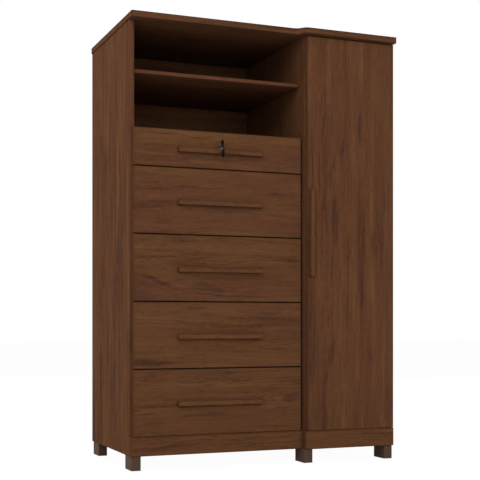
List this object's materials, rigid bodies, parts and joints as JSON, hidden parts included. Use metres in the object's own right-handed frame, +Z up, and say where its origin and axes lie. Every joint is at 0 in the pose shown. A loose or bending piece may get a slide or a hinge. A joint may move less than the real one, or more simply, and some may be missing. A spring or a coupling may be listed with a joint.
{
  "type": "chifforobe",
  "caption": "Free-standing chifforobe in dark walnut-grain board: open compartments over drawers, a tall door standing further forward, S-curved top edge, bar handles, block feet",
  "frame": {"origin": "on the floor, under the middle of the overall box of width and depth", "axes": "+Z up, the front with the drawers and the door faces -Y, +X to the right of someone facing it"},
  "size_m": [0.904, 0.522, 1.402],
  "materials": {
    "walnut_board": "satin laminate printed with a dark reddish walnut grain",
    "drawer_board": "matt laminated board of the drawer boxes",
    "hardboard": "thin hardboard with a matt printed face",
    "beech": "raw beech dowel",
    "zinc_steel": "zinc-plated pressed steel",
    "chrome": "bright chrome plate",
    "dark_plastic": "dark brown moulded plastic",
    "black_plastic": "black moulded key head"
  },
  "bodies": {
    "cabinet": {"left_side_panel": "walnut_board", "right_side_panel": "walnut_board", "divider_panel": "walnut_board", "top_panel": "walnut_board", "left_bottom_panel": "walnut_board", "right_bottom_panel": "walnut_board", "left_plinth": "walnut_board", "right_plinth": "walnut_board", "open_shelf": "walnut_board", "drawer_bay_top": "walnut_board", "shoe_shelf": "walnut_board", "back_sheets": "hardboard", "feet": "dark_plastic", "cabinet_runners": "zinc_steel", "cabinet_screws": "zinc_steel", "hinge_arms": "zinc_steel", "shelf_pins": "zinc_steel", "rail_sockets": "chrome", "hanging_rail": "chrome", "dowels": "beech"},
    "drawer_1": {"drawer_1_front": "walnut_board", "drawer_1_handle": "walnut_board", "drawer_1_box": "drawer_board", "drawer_1_bottom": "hardboard", "drawer_1_runners": "zinc_steel", "drawer_1_screws": "zinc_steel", "lock_body": "chrome"},
    "drawer_2": {"drawer_2_front": "walnut_board", "drawer_2_handle": "walnut_board", "drawer_2_box": "drawer_board", "drawer_2_bottom": "hardboard", "drawer_2_runners": "zinc_steel", "drawer_2_screws": "zinc_steel"},
    "drawer_3": {"drawer_3_front": "walnut_board", "drawer_3_handle": "walnut_board", "drawer_3_box": "drawer_board", "drawer_3_bottom": "hardboard", "drawer_3_runners": "zinc_steel", "drawer_3_screws": "zinc_steel"},
    "drawer_4": {"drawer_4_front": "walnut_board", "drawer_4_handle": "walnut_board", "drawer_4_box": "drawer_board", "drawer_4_bottom": "hardboard", "drawer_4_runners": "zinc_steel", "drawer_4_screws": "zinc_steel"},
    "drawer_5": {"drawer_5_front": "walnut_board", "drawer_5_handle": "walnut_board", "drawer_5_box": "drawer_board", "drawer_5_bottom": "hardboard", "drawer_5_runners": "zinc_steel", "drawer_5_screws": "zinc_steel"},
    "door": {"door_panel": "walnut_board", "door_handle": "walnut_board", "hinge_cups": "zinc_steel", "door_screws": "zinc_steel"},
    "key_in_lock": {"key": "black_plastic", "lock_plug": "chrome", "lock_cam": "zinc_steel"},
    "key_ring": {"key_ring": "chrome"},
    "spare_key": {"spare_key": "black_plastic"}
  },
  "joints": [
    {"name": "drawer_1_slide", "type": "slide", "parent": "cabinet", "child": "drawer_1", "axis": [0, -1, 0], "range_m": [0, 0.3]},
    {"name": "drawer_2_slide", "type": "slide", "parent": "cabinet", "child": "drawer_2", "axis": [0, -1, 0], "range_m": [0, 0.3]},
    {"name": "drawer_3_slide", "type": "slide", "parent": "cabinet", "child": "drawer_3", "axis": [0, -1, 0], "range_m": [0, 0.3]},
    {"name": "drawer_4_slide", "type": "slide", "parent": "cabinet", "child": "drawer_4", "axis": [0, -1, 0], "range_m": [0, 0.3]},
    {"name": "drawer_5_slide", "type": "slide", "parent": "cabinet", "child": "drawer_5", "axis": [0, -1, 0], "range_m": [0, 0.3]},
    {"name": "door_hinge", "type": "hinge", "parent": "cabinet", "child": "door", "pos_m": [0.445, -0.244, 0.7415], "axis": [0, 0, 1], "range_deg": [0, 95]},
    {"name": "key_turn", "type": "hinge", "parent": "drawer_1", "child": "key_in_lock", "pos_m": [-0.1595, -0.219, 1.0055], "axis": [0, 1, 0], "range_deg": [0, 90]},
    {"name": "key_ring_swing", "type": "hinge", "parent": "key_in_lock", "child": "key_ring", "pos_m": [-0.1595, -0.2465, 1.0065], "axis": [0, 1, 0], "range_deg": [-25, 25]},
    {"name": "spare_key_swing", "type": "hinge", "parent": "key_ring", "child": "spare_key", "pos_m": [-0.1595, -0.2465, 0.9885], "axis": [0, 1, 0], "range_deg": [-25, 25]}
  ]
}
